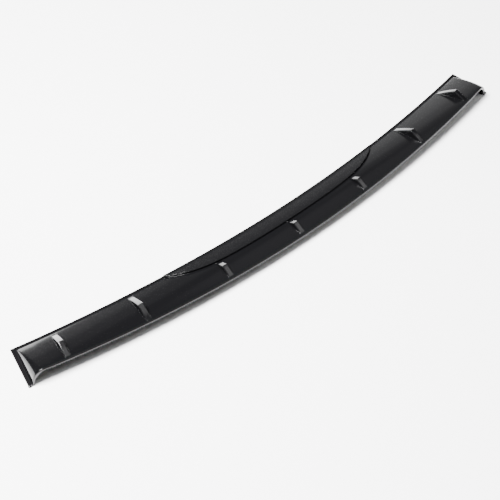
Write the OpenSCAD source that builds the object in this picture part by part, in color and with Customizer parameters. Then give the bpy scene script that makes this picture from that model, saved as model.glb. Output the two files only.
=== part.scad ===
// Roof spoiler: one long moulded shell that arches over the top edge of a rear window.
// X runs across the car, +Y points to the roof, Z is up. The two end flanges stand on z = 0,
// and the origin lies between them, under the middle of the moulding's own box.

/* [Planform] */
// Half the width, measured at the front corner of an end flange
half_w = 590; // [450:1:700]
// How far the middle of the roof edge lies behind its ends
bow = 62; // [20:1:120]
// Depth from the roof edge to the trailing edge, at the middle
chord_mid = 93; // [80:1:130]
// The same depth at the ends
chord_end = 92; // [80:1:130]
// How far the end flange runs outwards on its way back
end_flare = 15.5; // [0:0.5:20]
// Radius of the flange's rear outer corner
tip_round = 3; // [1:0.5:8]

/* [Heights] */
// Rise of the arch from the end flanges to the middle
crown = 10; // [4:1:60]
// Squareness of the arch: 2 is a parabola, more is flatter in the middle
crown_power = 2.6; // [2:0.1:5]
// Height of the trailing edge over the flange, at the middle
rise_mid = 13; // [12:1:40]
// The same height at the ends
rise_end = 34; // [15:1:50]
// Bulge of the main panel between its front and its rear edge
camber = 4.5; // [0:0.5:8]

/* [Shell] */
// Wall thickness of the moulding
wall = 3; // [2:0.1:4]
// Width of the flat flange along the roof edge
flange_w = 8.5; // [7:0.5:14]
// Width of the end flanges that the moulding stands on
end_flange_w = 9.5; // [7:0.5:14]
// Step from the flange up to the main panel
step_h = 1.6; // [0.8:0.1:3]
// Depth of the thicker bead along the trailing edge
bead_h = 6; // [4:0.5:9]
// Width of that bead, from front to rear
bead_w = 5; // [3:0.5:8]
// Rounding of the trailing edge
edge_round = 1.2; // [0.5:0.1:2]
// Width of the rounded shoulder of the end wall, at its rear
shoulder_rear = 24; // [14:1:40]
// The same width at its front, where the wall runs out
shoulder_front = 3; // [2:0.5:8]

/* [Raised crescent] */
// Half the width of the crescent along the roof edge
crescent_half_w = 280; // [220:1:330]
// Depth of the crescent at the middle
crescent_depth = 44; // [30:1:55]
// Squareness of its rear edge: 2 is a parabola, more gives a straighter back
crescent_power = 5.5; // [2:0.5:8]
// Depth of its blunt ends
crescent_tip = 4.5; // [3.5:0.5:7]
// Height of the crescent over the panel
crescent_h = 5; // [3:0.5:9]
// Ledge of flange left in front of it
crescent_ledge = 1.5; // [1:0.1:3]

/* [Fins] */
// Width of a fin at its crest
fin_w = 11; // [8:0.5:14]
// How much wider a fin is at its foot
fin_draft = 2; // [0.5:0.5:4]
// Rounding of a fin's crest
fin_round = 1; // [0.5:0.1:2]
// Distance of the outermost fins from the front corners of the end flanges
fin_inset = 73; // [60:1:120]
// Places of the other fins on the way from the middle one to the outermost
fin_share_near = 0.34; // [0.25:0.01:0.45]
fin_share_far = 0.69; // [0.55:0.01:0.8]
// Crest height of the four outer fins over the panel
fin_h_outer = 18; // [10:0.5:22]
// Crest height of the three inner fins over the panel
fin_h_inner = 12; // [8:0.5:18]
// Outward turn of a fin at the very end, in degrees
fin_fan = 9; // [0:0.5:12]

/* [Hidden] */

// Where fins start, peak and end, as shares of the panel from front to rear.
// The inner fins start at the foot of the crescent.
FIN_START = 0.04;
FIN_PEAK_OUTER = 0.56;
FIN_PEAK_INNER = 0.65;
FIN_END = 0.92;

// Run of a near-vertical face, and the least distance between two rows of points
riser = 0.7;
gap = 0.5;

seat_x = half_w - end_flange_w;
panel_end_x = seat_x - shoulder_rear - 2;
fin_x_end = half_w - fin_inset;

// Stations of the main panel from front to rear
panel_rows = [0.1, 0.2, 0.32, 0.44, 0.56, 0.68, 0.79, 0.88];
FRONT_ROWS = 7;
row_count = FRONT_ROWS + len(panel_rows) + 4;

// Columns: fixed places over the panel, then angles round the shoulder, then the flange
panel_steps = 15;
crescent_steps = 13;
shoulder_angles = [0, 15, 30, 45, 60, 75, 90];
flange_shares = [0.5, 1];

half_columns = concat(
    [for (i = [0 : crescent_steps]) (crescent_half_w - riser) * i / crescent_steps],
    [for (i = [0 : panel_steps]) crescent_half_w + (panel_end_x - crescent_half_w) * i / panel_steps]);
side_columns = concat(
    [for (a = shoulder_angles) [a, 0]],
    [for (f = flange_shares) [90, f]]);
half_count = len(half_columns) + len(side_columns);
column_count = 2 * half_count - 1;

// Plan of the roof edge and lie of the whole moulding
function lead_y(x) = -bow * max(0, 1 - pow(x / half_w, 2));
function base_z(x) = crown * max(0, 1 - pow(abs(x) / seat_x, crown_power));
middle_y = (bow + chord_mid) / 2;
function span_share(x) = pow(min(1, abs(x) / half_w), 2);
function chord(x) = chord_mid + (chord_end - chord_mid) * span_share(x);
function rise(x) = rise_mid + (rise_end - rise_mid) * span_share(x);

// Height of the panel over the flange, at an offset back from the roof edge
function panel_share(x, o) = max(0, (o - flange_w) / (chord(x) - flange_w));
function panel_h(x, o) = let (s = panel_share(x, o))
    step_h + (rise(x) - step_h) * s + camber * 4 * s * (1 - s);
function ground_h(x, o, k) = o <= flange_w + k ? 0
    : min(1, (o - flange_w - k) / riser) * panel_h(x, o);

// Rear boundary of the crescent, an arc that ends in blunt tips
function crescent_back(x) = crescent_tip
    + (crescent_depth - crescent_tip) * max(0, 1 - pow(abs(x) / crescent_half_w, crescent_power));
function in_crescent(x) = abs(x) < crescent_half_w - riser / 2;
function crescent_open(x, k) = in_crescent(x)
    && (k == 0 || crescent_back(x) > flange_w + 3 * k);

// Offsets of the seven front rows: edge, crescent foot and top, its rear top and foot, panel step
function front_offsets(x, k) = let (
        o1 = crescent_ledge + k,
        o2 = o1 + riser,
        o3 = max(o2 + gap, crescent_back(x) - k),
        o4 = o3 + riser,
        o5 = max(o4 + gap, flange_w + k),
        o6 = o5 + riser)
    [0, o1, o2, o3, o4, o5, o6];

function row_offset(x, row, k) = let (front = front_offsets(x, k))
    row < FRONT_ROWS ? front[row]
    : let (o6 = front[FRONT_ROWS - 1], end = chord(x), i = row - FRONT_ROWS, n = len(panel_rows))
        i < n ? o6 + (end - bead_w - riser - o6) * panel_rows[i] / panel_rows[n - 1]
        : i == n ? end - bead_w - riser / 2
        : i == n + 1 ? end - bead_w + riser / 2
        : i == n + 2 ? end - edge_round
        : end;

// The bead makes the shell thicker along its free edge
function row_wall(row) = row >= row_count - 3 ? bead_h : wall;

function row_height(x, row, k) = let (o = row_offset(x, row, k))
    ((row == 2 || row == 3) && crescent_open(x, k)) ? panel_h(x, o) + crescent_h
    : ground_h(x, o, k) - ((row == row_count - 1 && k == 0) ? edge_round * 0.6 : 0);

// A point of the outer skin (k = 0) or the inner skin (k = wall) on a fixed column
function panel_point(x, row, k) = let (
        o = row_offset(x, row, k),
        lift = k == 0 ? wall : wall - row_wall(row))
    [x, lead_y(x) - o, base_z(x) + lift + row_height(x, row, k)];

// The same on a column that rounds the shoulder and runs down the end wall to the flange
function side_point(side, column, row, k) = let (
        nominal = side * seat_x,
        o = row_offset(nominal, row, k),
        s = panel_share(nominal, o),
        angle = column[0],
        share = column[1],
        thick = k == 0 ? 0 : wall + (row_wall(row) - wall) * cos(angle),
        outer_x = half_w + end_flare * min(1, o / chord(nominal)),
        inner_x = outer_x - end_flange_w - thick,
        width = shoulder_front + (shoulder_rear - shoulder_front) * s,
        x = share > 0 ? outer_x - end_flange_w * (1 - share) : inner_x - width * (1 - sin(angle)),
        trim = (row >= row_count - 2) ? tip_round * share * share : 0,
        lift = k == 0 ? wall : 0,
        drop = k == 0 ? 0 : row_wall(row) - wall,
        h = max(0, row_height(nominal, row, k) - drop) * cos(angle))
    [side * x, lead_y(x) - o + trim, base_z(x) + lift + (share > 0 ? 0 : h)];

function skin_point(c, row, k) = let (i = abs(c - half_count + 1), side = c < half_count - 1 ? -1 : 1)
    i < len(half_columns) ? panel_point(side * half_columns[i], row, k)
    : side_point(side, side_columns[i - len(half_columns)], row, k);

function skin(k) = [for (row = [0 : row_count - 1]) for (c = [0 : column_count - 1]) skin_point(c, row, k)];

// Faces of a closed two-skin sheet whose rows and columns lie on a grid
function at(row, c, layer) = (layer * row_count + row) * column_count + c;
function skin_faces(layer) = [for (r = [0 : row_count - 2]) for (c = [0 : column_count - 2]) each
    let (a = at(r, c, layer), b = at(r, c + 1, layer),
         d = at(r + 1, c, layer), e = at(r + 1, c + 1, layer))
    layer == 0 ? [[a, b, e], [a, e, d]] : [[a, e, b], [a, d, e]]];
function row_rim(r, turn) = [for (c = [0 : column_count - 2]) each
    let (a = at(r, c, 0), b = at(r, c + 1, 0), d = at(r, c, 1), e = at(r, c + 1, 1))
    turn ? [[a, b, e], [a, e, d]] : [[a, e, b], [a, d, e]]];
function column_rim(c, turn) = [for (r = [0 : row_count - 2]) each
    let (a = at(r, c, 0), b = at(r + 1, c, 0), d = at(r, c, 1), e = at(r + 1, c, 1))
    turn ? [[a, b, e], [a, e, d]] : [[a, e, b], [a, d, e]]];

// The lofted shell: flange, crescent, main panel, end walls and bead in one skin
module shell() {
    polyhedron(
        points = concat(skin(0), skin(wall)),
        faces = concat(skin_faces(0), skin_faces(1),
            row_rim(0, false), row_rim(row_count - 1, true),
            column_rim(0, true), column_rim(column_count - 1, false)));
}

// A point on the panel's upper face
function on_panel(x, s) = let (o = flange_w + s * (chord(x) - flange_w))
    [x, lead_y(x) - o, base_z(x) + wall + panel_h(x, o)];

// Small ball that rounds a corner of a fin
module knob(place) {
    translate(place) sphere(r = fin_round, $fn = 12);
}

// One wedge fin: a steep ramp up to a crest and a longer slope down to its tail
module fin(x, peak, crest_h) {
    turn = tan(fin_fan * x / half_w) * (chord(x) - flange_w);
    start = in_crescent(x) ? panel_share(x, crescent_back(x)) : FIN_START;
    hull()
        for (side = [-1, 1]) {
            foot = side * (fin_w / 2 + fin_draft / 2 - fin_round);
            top = side * (fin_w / 2 - fin_round);
            for (s = [start, FIN_END])
                knob(on_panel(x + turn * (s - peak), s) + [foot, 0, -fin_round - 0.2]);
            knob(on_panel(x, peak) + [foot, 0, -fin_round - 0.6]);
            knob(on_panel(x, peak) + [top, 0, crest_h - fin_round]);
        }
}

module fins() {
    for (share = [-fin_share_near, 0, fin_share_near]) fin(share * fin_x_end, FIN_PEAK_INNER, fin_h_inner);
    for (share = [-1, -fin_share_far, fin_share_far, 1]) fin(share * fin_x_end, FIN_PEAK_OUTER, fin_h_outer);
}

module spoiler() {
    color("#1d1d1f") translate([0, middle_y, 0]) union() {
        shell();
        fins();
    }
}

spoiler();
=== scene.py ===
import math

import bpy
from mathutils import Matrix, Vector


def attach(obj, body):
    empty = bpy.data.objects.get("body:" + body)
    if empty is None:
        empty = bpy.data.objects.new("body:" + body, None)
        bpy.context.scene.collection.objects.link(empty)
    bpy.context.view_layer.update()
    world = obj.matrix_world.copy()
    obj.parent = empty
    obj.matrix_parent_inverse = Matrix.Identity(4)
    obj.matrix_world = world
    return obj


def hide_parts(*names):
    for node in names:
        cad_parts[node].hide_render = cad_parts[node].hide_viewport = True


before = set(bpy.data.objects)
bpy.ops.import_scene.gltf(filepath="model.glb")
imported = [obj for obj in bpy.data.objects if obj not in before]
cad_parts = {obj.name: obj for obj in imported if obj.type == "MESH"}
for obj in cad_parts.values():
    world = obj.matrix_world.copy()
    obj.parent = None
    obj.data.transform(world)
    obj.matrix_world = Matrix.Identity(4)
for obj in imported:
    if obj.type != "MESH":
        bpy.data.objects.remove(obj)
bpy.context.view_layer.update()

# The main form. A roof spoiler lies along the top edge of a rear window and is injection moulded
# in one shot from black ABS. Its 3 mm skin follows the bow and the arch of the roof's edge and
# rises to the rear. Lengths are millimetres; x is across the car, an offset is back from the edge.
HALF_W = 590.0
BOW = 62.0
CROWN, CROWN_POWER = 10.0, 2.6
CHORD_MID, CHORD_END = 93.0, 92.0
RISE_MID, RISE_END = 13.0, 34.0
WALL = 3.0
END_FLANGE_W = 9.5
SEAT_X = HALF_W - END_FLANGE_W


def lead_y(x):
    """The roof edge seen from above: its middle stands behind its ends by the bow."""
    return -BOW * max(0.0, 1 - (x / HALF_W) ** 2)


def base_z(x):
    """The arch that the roof flange lies on, highest in the middle."""
    return CROWN * max(0.0, 1 - (abs(x) / SEAT_X) ** CROWN_POWER)


def span_share(x):
    """0 in the middle of the car, 1 at the front corners, slow at first."""
    return min(1.0, abs(x) / HALF_W) ** 2


def chord(x):
    """Depth from the roof edge back to the free edge."""
    return CHORD_MID + (CHORD_END - CHORD_MID) * span_share(x)


def rise(x):
    """Height of the free edge over the flange."""
    return RISE_MID + (RISE_END - RISE_MID) * span_share(x)


# The roof flange: the flat strip along the front, which tape holds down on the roof's edge. It is
# moulded with the rest. Its front edge is rounded over, and a low step with small radii leads
# from it up to the panel.
FLANGE_W = 8.5
STEP_H = 1.6
EDGE_R = 0.8
# Profile of the rounded edge: distances in and depths, both as shares of the radius
ROUND_IN = (0.0, 0.13, 0.45, 1.0)
ROUND_DOWN = (1.0, 0.5, 0.15, 0.0)
# Profile of a rounded step: places across it and shares of its height
STEP_PLACES = (-1.1, -0.45, -0.12, 0.22, 0.6, 1.3)
STEP_SHARES = (0.0, 0.05, 0.25, 0.75, 0.95, 1.0)
STEP_FIRST, STEP_LAST = STEP_PLACES[0], STEP_PLACES[-1]
# The panel's own step is that profile shortened, and starts a little way onto the flange
STEP_RUN = 0.25
STEP_LEAD = 0.5

flange_rows = [("edge", i) for i in range(len(ROUND_IN))]
step_rows = [("step", i) for i in range(len(STEP_PLACES))]


def step_share(place):
    """Share of a rounded step's height at a place across it."""
    if place <= STEP_FIRST:
        return 0.0
    for a, b, low, high in zip(STEP_PLACES, STEP_PLACES[1:], STEP_SHARES, STEP_SHARES[1:]):
        if place <= b:
            return low + (high - low) * (place - a) / (b - a)
    return 1.0


# The panel: the broad smooth face between the roof flange and the free edge, part of the same
# ABS skin. The mould gives it a slight camber, highest halfway back, so it never looks hollow.
CAMBER = 4.5


def panel_share(x, offset):
    """Share of the way from the flange back to the free edge."""
    return max(0.0, (offset - FLANGE_W) / (chord(x) - FLANGE_W))


def panel_h(x, offset):
    """Height of the panel over the flange."""
    share = panel_share(x, offset)
    return STEP_H + (rise(x) - STEP_H) * share + CAMBER * 4 * share * (1 - share)


def plain_h(x, offset, shift):
    """Height over the flange of the step and the panel, without crescent and fins."""
    place = (offset - FLANGE_W + STEP_LEAD - shift) / STEP_RUN + STEP_FIRST
    return step_share(place) * panel_h(x, offset)


# The crescent: a raised pad of the same moulding along the middle of the roof edge. It stands
# behind a narrow ledge, its back edge curves forwards to a point at both ends, and a short drop
# with small radii leads down to the panel behind it.
CRESCENT_HALF_W = 280.0
CRESCENT_DEPTH, CRESCENT_TIP = 44.0, 4.5
CRESCENT_POWER = 5.5
CRESCENT_H = 5.0
CRESCENT_LEDGE = 1.5
TIP_INSET = 0.2
# The inner skin follows the crescent only where that reaches this many walls past the flange
HOLLOW_WALLS = 3
# Profile of the drop, from its top: distances in from the back edge and shares of its height
DROP_IN = (1.3, 0.9, 0.6, 0.35, 0.15, 0.0, -0.2)
DROP_SHARES = (1.0, 0.97, 0.88, 0.66, 0.35, 0.05, 0.0)
# Distances that keep the rows apart where the crescent runs out
LEAST_TOP, LEAST_DROP, DROP_TO_STEP = 2.6, 0.6, 1.3
TOP_ROWS = 8
CURVE_PITCH, CURVE_STEPS = 2.5, 24

crescent_rows = [("ledge", i) for i in range(len(STEP_PLACES))]
crescent_rows += [("crescent", i / TOP_ROWS) for i in range(1, TOP_ROWS)]
crescent_rows += [("drop", i) for i in range(len(DROP_IN))]


def both_sides(places):
    """Each place left and right of the middle."""
    return [side * place for place in places for side in (-1, 1)]


# Columns of the skin at the crescent's tips and along its curved ends
tip_columns = both_sides([CRESCENT_HALF_W - place for place in STEP_PLACES])
curve_columns = both_sides([CRESCENT_HALF_W - CURVE_PITCH * i for i in range(1, CURVE_STEPS)])


def crescent_back(x):
    """Offset of the crescent's back edge."""
    taper = max(0.0, 1 - (abs(x) / CRESCENT_HALF_W) ** CRESCENT_POWER)
    return CRESCENT_TIP + (CRESCENT_DEPTH - CRESCENT_TIP) * taper


def crescent_ends(x, shift):
    """Offsets of the crescent's front riser and of its back edge, in the outer or inner skin."""
    front = CRESCENT_LEDGE - STEP_FIRST + shift
    return front, max(front + LEAST_TOP, crescent_back(x) - shift)


def crescent_offset(x, row, shift):
    """Offset of a row of the crescent: front riser, top or drop."""
    name, i = row
    front, back = crescent_ends(x, shift)
    if name == "ledge":
        return front + STEP_PLACES[i]
    top = front + STEP_LAST
    squeeze = min(1.0, (back - top) / (DROP_IN[0] + LEAST_DROP))
    if name == "crescent":
        return top + (back - DROP_IN[0] * squeeze - top) * i
    return back - DROP_IN[i] * squeeze


def step_offset(x, place, shift):
    """Offset of a place across the panel's step, which never runs into the crescent's drop."""
    back = crescent_ends(x, shift)[1]
    foot = max(back + DROP_TO_STEP, FLANGE_W - STEP_LEAD + shift)
    return foot + (place - STEP_FIRST) * STEP_RUN


def crescent_share(x, row, shift):
    """Share of the crescent's height that a row has."""
    if shift and crescent_back(x) < FLANGE_W + HOLLOW_WALLS * shift:
        return 0.0
    end = step_share(CRESCENT_HALF_W - abs(x) - TIP_INSET)
    name, i = row
    if name == "ledge":
        return end * STEP_SHARES[i]
    if name == "crescent":
        return end
    if name == "drop":
        return end * DROP_SHARES[i]
    return 0.0


# The fins: seven wedges that guide the air over the glass, moulded on the panel in solid ABS.
# Each has a ramp up to a crest, a slope down to the rear, a flat top with rounded edges and
# steep sides. The two at each end are taller, and they fan outwards from the middle one.
FIN_W, FIN_SIDE_SLOPE = 11.0, 0.065
FIN_R, FIN_R_SHARE = 1.9, 0.6
FILLET_W, FILLET_H, FILLET_H_SHARE = 0.6, 0.3, 0.1
OUTER_FIN_X = 517.0
FIN_PLACES = [OUTER_FIN_X * share for share in (-1, -0.69, -0.34, 0, 0.34, 0.69, 1)]
FIN_H_OUTER, FIN_H_INNER = 18.0, 12.0
CREST_SOFT = 0.35
# Shares of the way back over the panel at which a fin starts, peaks and ends
FIN_START, FIN_END = 0.04, 0.92
FIN_PEAK_OUTER, FIN_PEAK_INNER = 0.56, 0.65
BEHIND_CRESCENT = 0.4
# Inner fins give way to outer ones from this x on, over this width
OUTER_FROM_X, OUTER_OVER_W = 230, 80
# Turn of a fin in degrees at the very end, which fades out from this x on, over this width
FIN_FAN = 9.0
FAN_FADE_X, FAN_FADE_W = 528, 14
# Distances between the step, the first row of a ramp and the rows round a crest
TOE_GAP, TOE_TO_RAMP = 1.0, 0.4
RAMP_TO_CREST, CREST_TO_SLOPE = 1.4, 1.6
TOE_ROWS, RAMP_ROWS, SLOPE_ROWS = 4, 12, 10
CREST_ROWS = (-0.8, -0.3, 0.0, 0.3, 0.8)
SLOPE_FOOT = 0.98

fin_rows = [("toe", i / TOE_ROWS) for i in range(1, TOE_ROWS)]
fin_rows += [("ramp", i / RAMP_ROWS) for i in range(RAMP_ROWS)]
fin_rows += [("crest", behind) for behind in CREST_ROWS]
fin_rows += [("slope", i / SLOPE_ROWS) for i in range(1, SLOPE_ROWS)]
fin_rows += [("slope", SLOPE_FOOT), ("slope", 1.0)]

# Columns of the skin aside of a fin's middle line: top, rounded edge, side, fillet and panel
FIN_COLUMNS = [0.0, 2.0, 3.55, 3.95, 4.35, 4.7, 5.0, 5.25, 5.42, 5.5]
FIN_COLUMNS += [5.85, 6.2, 6.5, 6.65, 6.8, 7.1, 7.9, 9.5]
NEAR = 0.01
fin_columns = [place + aside for place in FIN_PLACES for aside in both_sides(FIN_COLUMNS)]


def blend(a, b, t):
    """From a to b, eased at both ends, as t goes from 0 to 1."""
    t = min(1.0, max(0.0, t))
    return a + (b - a) * t * t * (3 - 2 * t)


def fin_peak_share(x):
    """Share of the way back at which the crest lies."""
    return blend(FIN_PEAK_INNER, FIN_PEAK_OUTER, (abs(x) - OUTER_FROM_X) / OUTER_OVER_W)


def fin_start_share(x):
    """Share of the way back at which the ramp starts, behind the crescent where there is one."""
    inner = panel_share(x, crescent_back(x) + BEHIND_CRESCENT)
    return blend(inner, FIN_START, (abs(x) - OUTER_FROM_X) / OUTER_OVER_W)


def fin_end(x):
    """Offset at which a fin's rear slope ends."""
    return FLANGE_W + (chord(x) - FLANGE_W) * FIN_END


def fin_offset(x, row, shift):
    """Offset of a row between the panel's step and the rear end of the fins."""
    name, i = row
    width = chord(x) - FLANGE_W
    start = step_offset(x, STEP_LAST, shift)
    toe = max(start + TOE_GAP, FLANGE_W + width * fin_start_share(x) + TOE_TO_RAMP)
    peak = FLANGE_W + width * fin_peak_share(x)
    if name == "toe":
        return start + (toe - start) * i
    if name == "ramp":
        return toe + (peak - RAMP_TO_CREST - toe) * i
    if name == "crest":
        return peak + i
    return peak + CREST_TO_SLOPE + (fin_end(x) - peak - CREST_TO_SLOPE) * i


def fin_height(place, share):
    """Height of a fin's middle line: a ramp up to a rounded crest and a slope down."""
    inner = abs(place) < CRESCENT_HALF_W
    crest = FIN_H_INNER if inner else FIN_H_OUTER
    peak = FIN_PEAK_INNER if inner else FIN_PEAK_OUTER
    start = fin_start_share(place)
    up = (share - start) / (peak - start)
    down = (FIN_END - share) / (FIN_END - peak)
    height = crest * min(up, down)
    under = crest - height
    if under < CREST_SOFT:
        height = crest - CREST_SOFT / 2 - under * under / (2 * CREST_SOFT)
    return max(0.0, height)


def fin_top(height, aside):
    """Height of a fin aside of its middle line: flat top, rounded edge, steep side, fillet."""
    half = FIN_W / 2
    foot = half + FIN_SIDE_SLOPE * height
    radius = min(FIN_R, FIN_R_SHARE * height)
    if aside <= half - radius:
        return height
    if aside <= half:
        return height - radius + math.sqrt(max(0.0, radius ** 2 - (aside - half + radius) ** 2))
    fillet = min(FILLET_H, FILLET_H_SHARE * height)
    if aside < foot:
        return height - radius + (fillet - height + radius) * (aside - half) / (foot - half)
    over = (aside - foot) / FILLET_W
    return fillet * (1 - over) ** 2 if over < 1 else 0.0


def near_fin(x):
    """The place of the fin whose columns hold x, if there is one."""
    for place in FIN_PLACES:
        if abs(x - place) < FIN_COLUMNS[-1] + NEAR:
            return place
    return None


def fan(x, offset):
    """Sideways shift that turns the fins outwards and fades out before the end walls."""
    width = chord(x) - FLANGE_W
    share = (offset - FLANGE_W) / width
    fade = blend(1, 0, (abs(x) - FAN_FADE_X) / FAN_FADE_W)
    return math.tan(math.radians(FIN_FAN * x / HALF_W)) * width * (share - FIN_PEAK_OUTER) * fade


def skin_height(x, fanned_x, offset, row, shift, place):
    """Height of the skin over the flange: panel, crescent and fins together."""
    low = plain_h(fanned_x, offset, shift)
    share = crescent_share(x, row, shift)
    height = low + share * (panel_h(fanned_x, offset) + CRESCENT_H - low)
    if place is not None and not shift:
        back = (offset - FLANGE_W) / (chord(x) - FLANGE_W)
        height = max(height, low + fin_top(fin_height(place, back), abs(x - place)))
    return height


# The free edge: the rear edge of the moulding, which hangs over the glass and touches nothing. A
# bead twice as thick as the wall stiffens it, and its rim is rounded above and below, so that it
# draws a bright line along the whole width.
BEAD_H, BEAD_W = 6.0, 5.0
# Profile of the rim: distances in, and depths as shares of the bead, for its upper and lower half
RIM_IN = (2.6, 1.7, 1.05, 0.55, 0.2, 0.0), (2.6, 1.6, 0.9, 0.4, 0.1, 0.0)
RIM_DOWN = (0.0, 0.05, 0.15, 0.28, 0.43, 0.58), (1.0, 0.97, 0.92, 0.85, 0.77, 0.68)
# Distances between the fins' rear end, the bead's front and its full thickness
TAIL_REACH, LEAST_TAIL, BEAD_RISER = 1.2, 1.6, 0.6

free_edge_rows = [("tail", 1 / 6), ("tail", 1 / 3)]
free_edge_rows += [("bead", 0), ("bead", 1)]
free_edge_rows += [("rim", i) for i in range(len(RIM_IN[0]))]


def free_edge_offset(x, row, shift):
    """Offset of a row behind the fins, at the bead or round the rim."""
    name, i = row
    bead = chord(x) - BEAD_W
    if name == "tail":
        return fin_end(x) + (bead + TAIL_REACH - fin_end(x)) * i
    if name == "bead":
        return max(bead, fin_end(x) + LEAST_TAIL) + (BEAD_RISER if i else 0.0)
    return chord(x) - RIM_IN[shift > 0][i]


def row_depth(row, inner, bead=BEAD_H):
    """Depth of a row of the outer or inner skin under the outer surface."""
    name, i = row
    if name == "edge":
        down = EDGE_R * ROUND_DOWN[i]
        return WALL - down if inner else down
    if name == "rim":
        return RIM_DOWN[inner][i] * bead
    if inner:
        return bead if name == "bead" and i else WALL
    return 0.0


def row_offset(x, row, shift):
    """Offset of any row. The inner skin's risers are shifted one wall further in."""
    name, i = row
    if name == "edge":
        return EDGE_R * ROUND_IN[i]
    if name in ("ledge", "crescent", "drop"):
        return crescent_offset(x, row, shift)
    if name == "step":
        return step_offset(x, STEP_PLACES[i], shift)
    if name in ("toe", "ramp", "crest", "slope"):
        return fin_offset(x, row, shift)
    return free_edge_offset(x, row, shift)


# The end walls: at both ends the panel turns down in a rounded shoulder, wider to the rear, and
# runs out into a flat flange that flares outwards. The flange is what tape holds to the car
# beside the glass, and all of it is the same moulding.
END_FLARE = 15.5
SHOULDER_REAR, SHOULDER_FRONT = 24.0, 3.0
SHOULDER_ROOM = 2.0
PANEL_END_X = SEAT_X - SHOULDER_REAR - SHOULDER_ROOM
END_R = 2.0
TIP_ROUND = 3.0
SHOULDER_TURN, SHOULDER_STEPS = 7.5, 12
SHOULDER_TURNS = [i * SHOULDER_TURN for i in range(SHOULDER_STEPS + 1)]
FLANGE_INSETS = [6.0, 4.0] + [share * END_R for share in reversed(ROUND_IN)]


def outer_edge_x(offset):
    """Half the spoiler's width at an offset."""
    return HALF_W + END_FLARE * min(1.0, offset / chord(SEAT_X))


def end_flange_point(inset, row, inner, offset):
    """A point of the right end flange, at an inset from its outer edge."""
    x = outer_edge_x(offset) - inset
    down = row_depth(row, inner, WALL)
    if inset < END_R:
        share = ROUND_DOWN[FLANGE_INSETS[::-1].index(inset)]
        down = min(down, WALL - EDGE_R * share) if inner else max(down, END_R * share)
    trim = 0.0
    if row[0] == "rim" and inset < TIP_ROUND:
        trim = TIP_ROUND - math.sqrt(TIP_ROUND ** 2 - (TIP_ROUND - inset) ** 2)
    return x, lead_y(x) - offset + trim, base_z(x) + WALL - down


def shoulder_point(turn, row, inner, offset):
    """A point of the right end wall, turned from the panel's edge, 0, down to the flange, 90."""
    angle = math.radians(turn)
    thick = row_depth(row, inner, WALL + (BEAD_H - WALL) * math.cos(angle)) if inner else 0.0
    width = SHOULDER_FRONT + (SHOULDER_REAR - SHOULDER_FRONT) * panel_share(SEAT_X, offset)
    x = outer_edge_x(offset) - END_FLANGE_W - thick - width * (1 - math.sin(angle))
    flange_top = 0.0 if inner else WALL
    full = skin_height(SEAT_X, SEAT_X, offset, row, WALL if inner else 0.0, None) + WALL
    over = max(0.0, full - row_depth(row, inner) - flange_top)
    return x, lead_y(x) - offset, base_z(x) + flange_top + over * math.cos(angle)


# The whole skin: outer and inner face of the ABS shell, a wall apart and closed all round, as
# they leave the mould. Rows run from end to end, from the roof edge to the free edge. Columns
# cross them, close together at the fins and at the crescent's curved ends.
MM_PER_M = 1000
MIDDLE_Y = (BOW + CHORD_MID) / 2
COLUMN_PITCH = 8.0
GRAIN_INSET = 0.4

rows = flange_rows + crescent_rows + step_rows + fin_rows + free_edge_rows

tight_columns = sorted(set(round(x, 3) for x in fin_columns + tip_columns + curve_columns))
stops = [-PANEL_END_X] + tight_columns + [PANEL_END_X]
columns = [(-1, end_flange_point, inset) for inset in reversed(FLANGE_INSETS)]
columns += [(-1, shoulder_point, turn) for turn in reversed(SHOULDER_TURNS)]
for a, b in zip(stops, stops[1:]):
    count = max(1, math.ceil((b - a) / COLUMN_PITCH))
    columns += [a + (b - a) * i / count for i in range(count)]
columns.append(PANEL_END_X)
columns += [(1, shoulder_point, turn) for turn in SHOULDER_TURNS]
columns += [(1, end_flange_point, inset) for inset in FLANGE_INSETS]


def panel_point(x, row, inner):
    """A point of the skin between the shoulders."""
    shift = WALL if inner else 0.0
    offset = row_offset(x, row, shift)
    fanned_x = x + fan(x, offset)
    height = skin_height(x, fanned_x, offset, row, shift, near_fin(x))
    z = base_z(fanned_x) + WALL + height - row_depth(row, inner)
    return fanned_x, lead_y(fanned_x) - offset, z


def skin_point(column, row, inner):
    """A point of the outer or inner skin in metres, in the shared frame."""
    if isinstance(column, tuple):
        side, end_point, measure = column
        offset = row_offset(SEAT_X, row, WALL if inner else 0.0)
        x, y, z = end_point(measure, row, inner, offset)
        x = side * x
    else:
        x, y, z = panel_point(column, row, inner)
    return x / MM_PER_M, (y + MIDDLE_Y) / MM_PER_M, z / MM_PER_M


def on_crescent(r, c):
    """Whether the face behind row r and column c lies on the crescent's top."""
    if isinstance(columns[c], tuple) or isinstance(columns[c + 1], tuple):
        return False
    middle = abs(columns[c] + columns[c + 1]) / 2
    return middle < CRESCENT_HALF_W - GRAIN_INSET and "crescent" in (rows[r][0], rows[r + 1][0])


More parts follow.
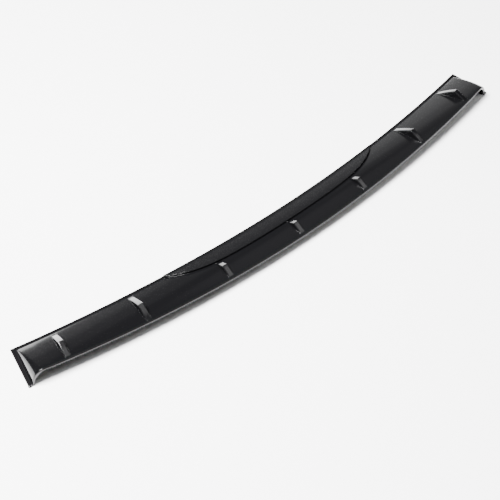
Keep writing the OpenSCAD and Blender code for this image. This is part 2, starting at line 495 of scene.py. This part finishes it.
def closed_skin():
    """Vertices and faces of both skins, joined round their outline, and which are grained."""
    n_rows, n_cols = len(rows), len(columns)
    last_row, last_col = n_rows - 1, n_cols - 1
    verts, faces, grained = [], [], []
    for inner in (False, True):
        for row in rows:
            verts += [skin_point(column, row, inner) for column in columns]

    def at(r, c, layer):
        return (layer * n_rows + r) * n_cols + c

    for r in range(last_row):
        for c in range(last_col):
            faces.append((at(r, c, 0), at(r + 1, c, 0), at(r + 1, c + 1, 0), at(r, c + 1, 0)))
            faces.append((at(r, c, 1), at(r, c + 1, 1), at(r + 1, c + 1, 1), at(r + 1, c, 1)))
            grained += [int(on_crescent(r, c)), 0]
    for c in range(last_col):
        faces.append((at(0, c, 0), at(0, c + 1, 0), at(0, c + 1, 1), at(0, c, 1)))
        faces.append((at(last_row, c + 1, 0), at(last_row, c, 0),
                      at(last_row, c, 1), at(last_row, c + 1, 1)))
    for r in range(last_row):
        faces.append((at(r + 1, 0, 0), at(r, 0, 0), at(r, 0, 1), at(r + 1, 0, 1)))
        faces.append((at(r, last_col, 0), at(r + 1, last_col, 0),
                      at(r + 1, last_col, 1), at(r, last_col, 1)))
    grained += [0] * (len(faces) - len(grained))
    return verts, faces, grained


mesh = bpy.data.meshes.new("spoiler_shell")
verts, faces, grained = closed_skin()
mesh.from_pydata(verts, [], faces)
mesh.validate()
mesh.polygons.foreach_set("use_smooth", [True] * len(mesh.polygons))
shell = bpy.data.objects.new("spoiler_shell", mesh)
bpy.context.scene.collection.objects.link(shell)

# The plastic: black ABS, coloured right through and moulded, with no paint. The smooth tool
# leaves it satin, which gives soft broad reflections. Only on the crescent does an etched grain
# in the tool break them up, so that it looks duller than the panel.
ABS_BLACK = "#070708"
ABS_IOR = 1.53
GRAIN_DETAIL = 2.0
FLAT_FACE_WEIGHT = 80


def hex_colour(text):
    """An sRGB hex colour as linear values."""
    channels = [int(text[i:i + 2], 16) / 255 for i in (1, 3, 5)]
    return [c / 12.92 if c <= 0.04045 else ((c + 0.055) / 1.055) ** 2.4 for c in channels] + [1.0]


def add_node(tree, kind, settings=(), links=()):
    """Adds a node, sets its inputs and attributes, and links the named sockets into it."""
    node = tree.nodes.new(kind)
    for name, value in dict(settings).items():
        if name in node.inputs:
            node.inputs[name].default_value = value
        else:
            setattr(node, name, value)
    for name, source in dict(links).items():
        tree.links.new(source, node.inputs[name])
    return node


def black_abs(name, roughness, specular, grain_mm, depth_mm):
    """Black ABS whose surface has dimples of a given width and depth."""
    material = bpy.data.materials.new(name)
    material.use_nodes = True
    tree = material.node_tree
    shader = tree.nodes["Principled BSDF"]
    shader.inputs["Base Color"].default_value = hex_colour(ABS_BLACK)
    shader.inputs["Roughness"].default_value = roughness
    shader.inputs["IOR"].default_value = ABS_IOR
    shader.inputs["Specular IOR Level"].default_value = specular
    place = add_node(tree, "ShaderNodeTexCoord")
    grain = add_node(tree, "ShaderNodeTexNoise",
                     {"Scale": MM_PER_M / grain_mm, "Detail": GRAIN_DETAIL},
                     {"Vector": place.outputs["Object"]})
    dimple = add_node(tree, "ShaderNodeBump",
                      {"Strength": 1.0, "Distance": depth_mm / MM_PER_M},
                      {"Height": grain.outputs["Fac"]})
    tree.links.new(dimple.outputs["Normal"], shader.inputs["Normal"])
    return material


# Panel and fins: only a trace of unevenness, as wide as the flow marks of a moulded face
satin_black_abs = black_abs("satin_black_abs_moulded", roughness=0.15, specular=0.28,
                            grain_mm=3.0, depth_mm=0.001)
# Crescent: a real etched grain is about 0.2 mm wide, and is drawn at 0.9 mm so that it shows
grained_black_abs = black_abs("black_abs_fine_grained", roughness=0.26, specular=0.18,
                              grain_mm=0.9, depth_mm=0.002)
mesh.materials.append(satin_black_abs)
mesh.materials.append(grained_black_abs)
mesh.polygons.foreach_set("material_index", grained)
weights = shell.modifiers.new("flat faces keep their shading", "WEIGHTED_NORMAL")
weights.weight = FLAT_FACE_WEIGHT
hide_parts("spoiler")
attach(shell, "root")

# The floor: a plain matt white board that the spoiler lies on, wide enough to fill every view.
# It lies a hair below the flanges, so that no two faces share a plane.
FLOOR_M = 40.0
FLOOR_BELOW_M = 0.0004
FLOOR_WHITE = "#f4f4f4"
floor_corners = [(-FLOOR_M, -FLOOR_M, 0), (FLOOR_M, -FLOOR_M, 0), (FLOOR_M, FLOOR_M, 0),
                 (-FLOOR_M, FLOOR_M, 0)]
floor_mesh = bpy.data.meshes.new("floor")
floor_mesh.from_pydata(floor_corners, [], [(0, 1, 2, 3)])
floor = bpy.data.objects.new("floor", floor_mesh)
floor.location.z = -FLOOR_BELOW_M
bpy.context.scene.collection.objects.link(floor)
floor_paint = bpy.data.materials.new("matt_white_floor")
floor_paint.use_nodes = True
floor_shader = floor_paint.node_tree.nodes["Principled BSDF"]
floor_shader.inputs["Base Color"].default_value = hex_colour(FLOOR_WHITE)
floor_shader.inputs["Roughness"].default_value = 0.9
floor_shader.inputs["Specular IOR Level"].default_value = 0.2
floor_mesh.materials.append(floor_paint)

# The studio: one strong soft box overhead lights the white floor. The weak boxes and strips round
# it are there to be mirrored in the plastic, and the surroundings are kept dim, so that the black
# stays deep between them. Places and sizes are metres, powers are watts.
SKY_WHITE, SKY_STRENGTH = "#ffffff", 0.02
world = bpy.data.worlds.new("studio")
bpy.context.scene.world = world
world.use_nodes = True
sky = world.node_tree.nodes["Background"]
sky.inputs["Color"].default_value = hex_colour(SKY_WHITE)
sky.inputs["Strength"].default_value = SKY_STRENGTH


def soft_box(name, place, aim, size, power):
    """A white rectangular light at a place, turned towards its aim."""
    light = bpy.data.lights.new(name, "AREA")
    light.shape = "RECTANGLE"
    light.size, light.size_y = size
    light.energy = power
    box = bpy.data.objects.new(name, light)
    box.location = place
    box.rotation_euler = (Vector(aim) - Vector(place)).to_track_quat("-Z", "Y").to_euler()
    bpy.context.scene.collection.objects.link(box)


soft_box("key_box", place=(-1.3, 0.6, 3.2), aim=(0, 0, 0), size=(1.4, 1.6), power=1150)
soft_box("top_strip", place=(1.5, -1.15, 2.5), aim=(1.5, -1.15, 0), size=(2.1, 0.7), power=16)
soft_box("top_left_strip", place=(-0.05, -0.68, 2.5), aim=(-0.05, -0.68, 0), size=(1.0, 0.7), power=6)
soft_box("front_box", place=(1.6, 2.5, 0.55), aim=(0.2, 0, 0), size=(3.8, 1.1), power=8)
soft_box("front_high_box", place=(1.6, 2.4, 1.55), aim=(0.2, 0, 0), size=(3.8, 0.9), power=3)
soft_box("front_right_box", place=(2.45, 2.6, 0.95), aim=(0.3, 0, 0), size=(2.3, 1.9), power=8)
soft_box("ceiling_box", place=(2.2, 1.5, 2.8), aim=(2.2, 1.5, 0), size=(2.4, 2.0), power=5)
soft_box("left_strip", place=(-2.4, 0.25, 0.5), aim=(-0.2, 0, 0.03), size=(0.9, 0.4), power=5)
soft_box("rear_box", place=(2.4, -1.5, 0.25), aim=(0.3, 0, 0), size=(1.6, 0.3), power=22)

# The camera: the photograph's view from behind and left, looking down. Focal length and frame
# are in pixels of a 500 pixel wide image, with everything in focus.
PIXELS = 500
FOCAL_PX = 1000.0
SENSOR_MM = 36.0
AZIMUTH, ELEVATION = -39.3, 52.4
DISTANCE_MM = 2080.0
TARGET_MM = (-65.3, -61.4, -64.5)
lens = bpy.data.cameras.new("view")
lens.sensor_width = SENSOR_MM
lens.lens = FOCAL_PX / PIXELS * SENSOR_MM
lens.dof.use_dof = False
camera = bpy.data.objects.new("view", lens)
turn, tilt = math.radians(AZIMUTH), math.radians(ELEVATION)
away = Vector((math.sin(turn) * math.cos(tilt), -math.cos(turn) * math.cos(tilt), math.sin(tilt)))
target = (Vector(TARGET_MM) + Vector((0, MIDDLE_Y, 0))) / MM_PER_M
camera.location = target + away * DISTANCE_MM / MM_PER_M
camera.rotation_euler = (-away).to_track_quat("-Z", "Y").to_euler()
bpy.context.scene.collection.objects.link(camera)
bpy.context.scene.camera = camera
